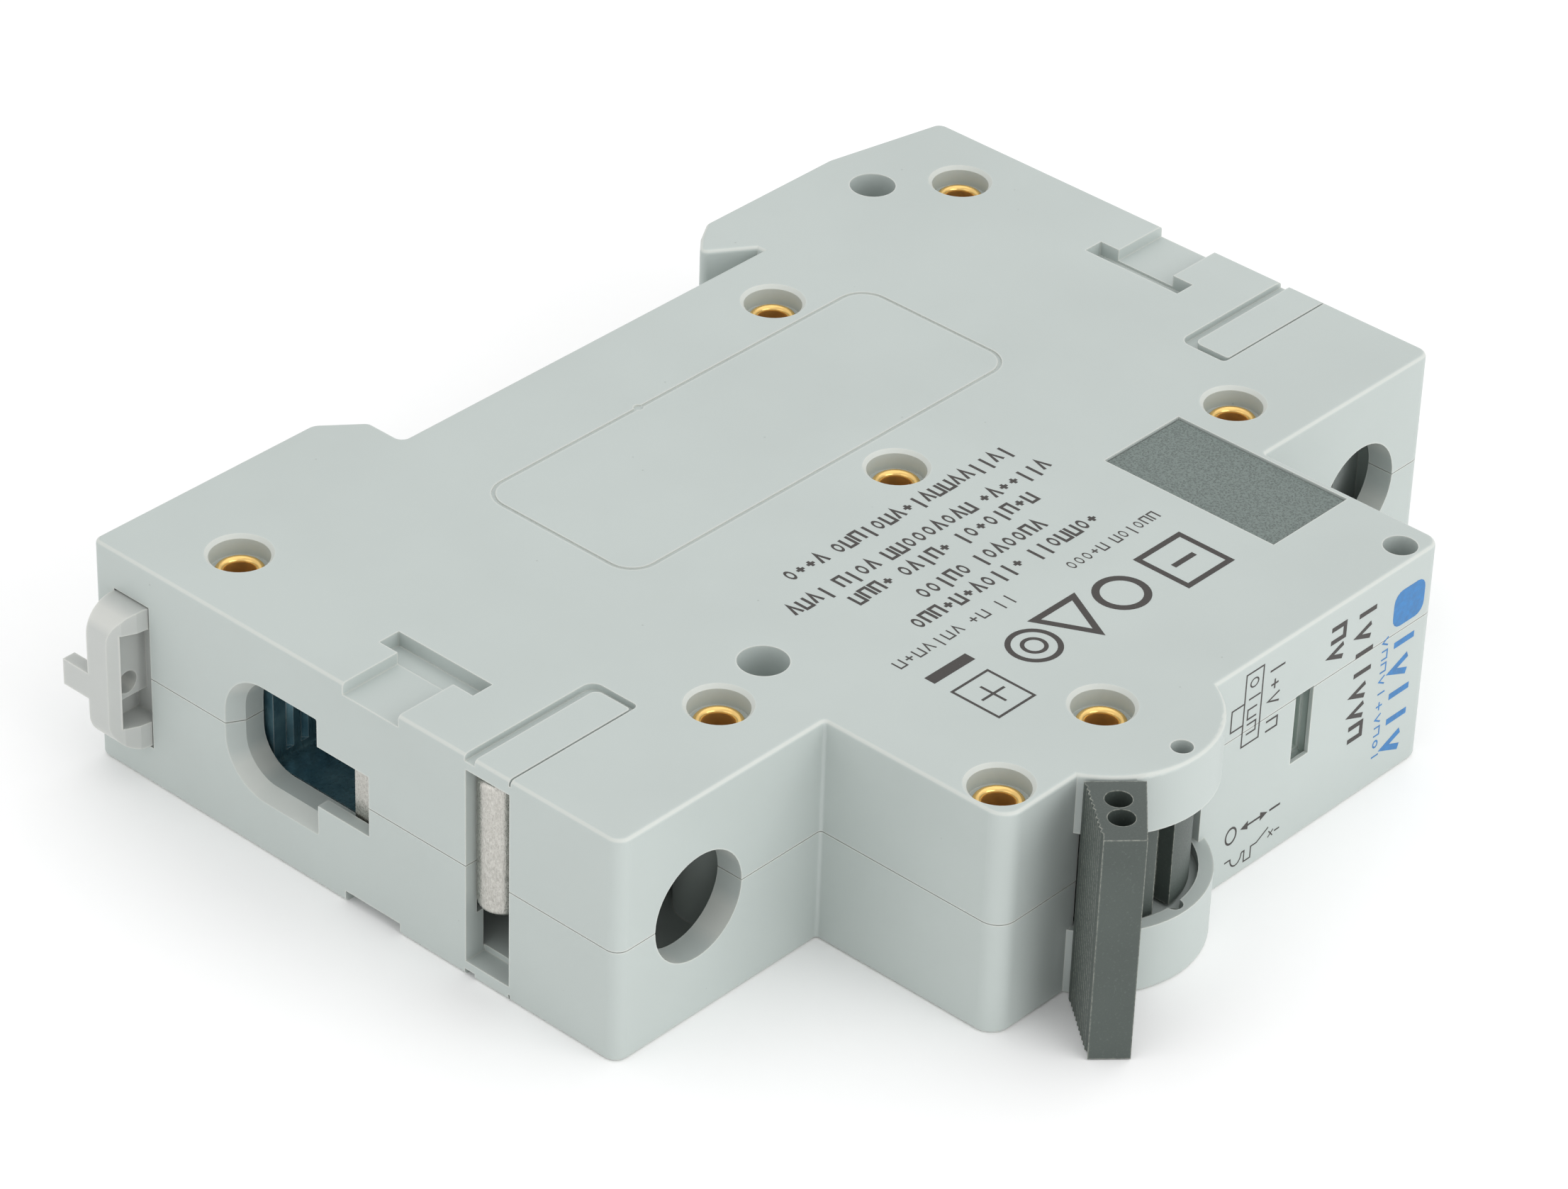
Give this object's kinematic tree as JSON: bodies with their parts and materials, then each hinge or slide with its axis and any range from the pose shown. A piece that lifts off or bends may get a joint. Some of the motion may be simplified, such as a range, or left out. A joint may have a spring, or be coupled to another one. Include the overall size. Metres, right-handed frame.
{
  "type": "miniature circuit breaker",
  "caption": "Single-module modular circuit breaker with toggle, rail clip and screw cage terminals at both ends, shown switched off.",
  "frame": {"origin": "centre of the rail seat: in the rail's front plane, midway along the 35 mm recess, at half width", "axes": "+X from the rail towards the toggle, +Y towards the upper terminal, +Z across the width, out of the cover's side face"},
  "size_m": [0.0721, 0.0854, 0.0176],
  "materials": {
    "case_plastic": "satin moulded",
    "toggle_plastic": "satin moulded",
    "clip_plastic": "satin moulded",
    "inner_plastic": "moulded",
    "flag_plastic": "moulded",
    "brass": "polished",
    "bright_steel": "bright",
    "plated_steel": "zinc plated",
    "cage_steel": "blue zinc plated",
    "lug_metal": "tin plated",
    "copper": "bare copper",
    "bimetal": "rolled",
    "contact_silver": "silver",
    "spring_steel": "drawn wire",
    "fibre_board": "pressed fibre",
    "label_grey": "fine leather grain",
    "window_clear": "clear"
  },
  "bodies": {
    "housing": {"case_cover": "case_plastic", "case_base": "case_plastic", "case_rivets": "brass", "contact_arm_pin": "bright_steel", "fixed_contact_bar": "copper", "fixed_contact": "contact_silver", "arc_plates": "plated_steel", "arc_chute_boards": "fibre_board", "arc_runner": "plated_steel", "coil_bobbin": "inner_plastic", "coil_winding": "copper", "coil_yoke": "plated_steel", "trip_lever_pin": "bright_steel", "bimetal_strip": "bimetal", "bimetal_bracket": "plated_steel", "calibration_screw": "brass", "contact_braid": "copper", "terminal_plate_bottom": "lug_metal", "busbar_saddle_bottom": "lug_metal", "terminal_plate_top": "lug_metal", "busbar_saddle_top": "lug_metal", "window_lens": "window_clear", "side_label": "label_grey", "toggle_spring": "spring_steel", "contact_spring": "spring_steel", "trip_lever_spring": "spring_steel", "plunger_spring": "spring_steel", "din_clip_spring": "spring_steel"},
    "toggle": {"toggle": "toggle_plastic", "drum_pin": "bright_steel"},
    "link": {"link_rod": "bright_steel"},
    "contact_arm": {"contact_arm": "copper", "arm_link_pin": "bright_steel", "moving_contact": "contact_silver"},
    "flag": {"position_flag": "flag_plastic"},
    "plunger": {"plunger": "bright_steel"},
    "trip_lever": {"trip_lever": "inner_plastic"},
    "din_clip": {"din_clip": "clip_plastic"},
    "screw_bottom": {"terminal_screw_bottom": "plated_steel"},
    "screw_top": {"terminal_screw_top": "plated_steel"},
    "cage_bottom": {"terminal_cage_bottom": "cage_steel"},
    "cage_top": {"terminal_cage_top": "cage_steel"}
  },
  "joints": [
    {"name": "toggle_turn", "type": "hinge", "parent": "housing", "child": "toggle", "pos_m": [0.0544, -0.0086, 0], "axis": [0, 0, 1], "range_deg": [0, 85], "deforming": ["toggle_spring"]},
    {"name": "link_swing", "type": "hinge", "parent": "toggle", "child": "link", "pos_m": [0.05115, -0.00535, 0], "axis": [0, 0, 1], "range_deg": [-115, 2]},
    {"name": "contact_arm_turn", "type": "hinge", "parent": "housing", "child": "contact_arm", "pos_m": [0.038, -0.0025, 0], "axis": [0, 0, 1], "range_deg": [-21, 1], "deforming": ["contact_spring", "contact_braid"]},
    {"name": "flag_turn", "type": "hinge", "parent": "housing", "child": "flag", "pos_m": [0.0503, 0.00825, 0], "axis": [0, 0, 1], "range_deg": [-1, 41]},
    {"name": "plunger_slide", "type": "slide", "parent": "housing", "child": "plunger", "axis": [0, -1, 0], "range_m": [0, 0.0018], "stiffness_N_per_m": 60, "springref_m": -0.0005, "deforming": ["plunger_spring"]},
    {"name": "trip_lever_turn", "type": "hinge", "parent": "housing", "child": "trip_lever", "pos_m": [0.043, 0.0035, 0], "axis": [0, 0, 1], "range_deg": [-0.5, 10], "deforming": ["trip_lever_spring"]},
    {"name": "din_clip_slide", "type": "slide", "parent": "housing", "child": "din_clip", "axis": [0, -1, 0], "range_m": [0, 0.003], "stiffness_N_per_m": 1500, "springref_m": -0.001, "deforming": ["din_clip_spring"]},
    {"name": "screw_bottom_turn", "type": "hinge", "parent": "housing", "child": "screw_bottom", "pos_m": [0.034, -0.034, 0], "axis": [-1, 0, 0], "range_deg": [0, 2835]},
    {"name": "cage_bottom_lift", "type": "slide", "parent": "housing", "child": "cage_bottom", "axis": [1, 0, 0], "range_m": [-0.0001, 0.0065]},
    {"name": "screw_top_turn", "type": "hinge", "parent": "housing", "child": "screw_top", "pos_m": [0.034, 0.034, 0], "axis": [-1, 0, 0], "range_deg": [0, 2835]},
    {"name": "cage_top_lift", "type": "slide", "parent": "housing", "child": "cage_top", "axis": [1, 0, 0], "range_m": [-0.0001, 0.0065]}
  ],
  "couplings": [
    {"joint": "link_swing", "follows": "toggle_turn", "ratio": -1.325},
    {"joint": "contact_arm_turn", "follows": "toggle_turn", "ratio": -0.23529},
    {"joint": "flag_turn", "follows": "toggle_turn", "ratio": 0.47059},
    {"joint": "trip_lever_turn", "follows": "plunger_slide", "rad_per_m": 92},
    {"joint": "cage_bottom_lift", "follows": "screw_bottom_turn", "m_per_rad": 0.00012732},
    {"joint": "cage_top_lift", "follows": "screw_top_turn", "m_per_rad": 0.00012732}
  ]
}
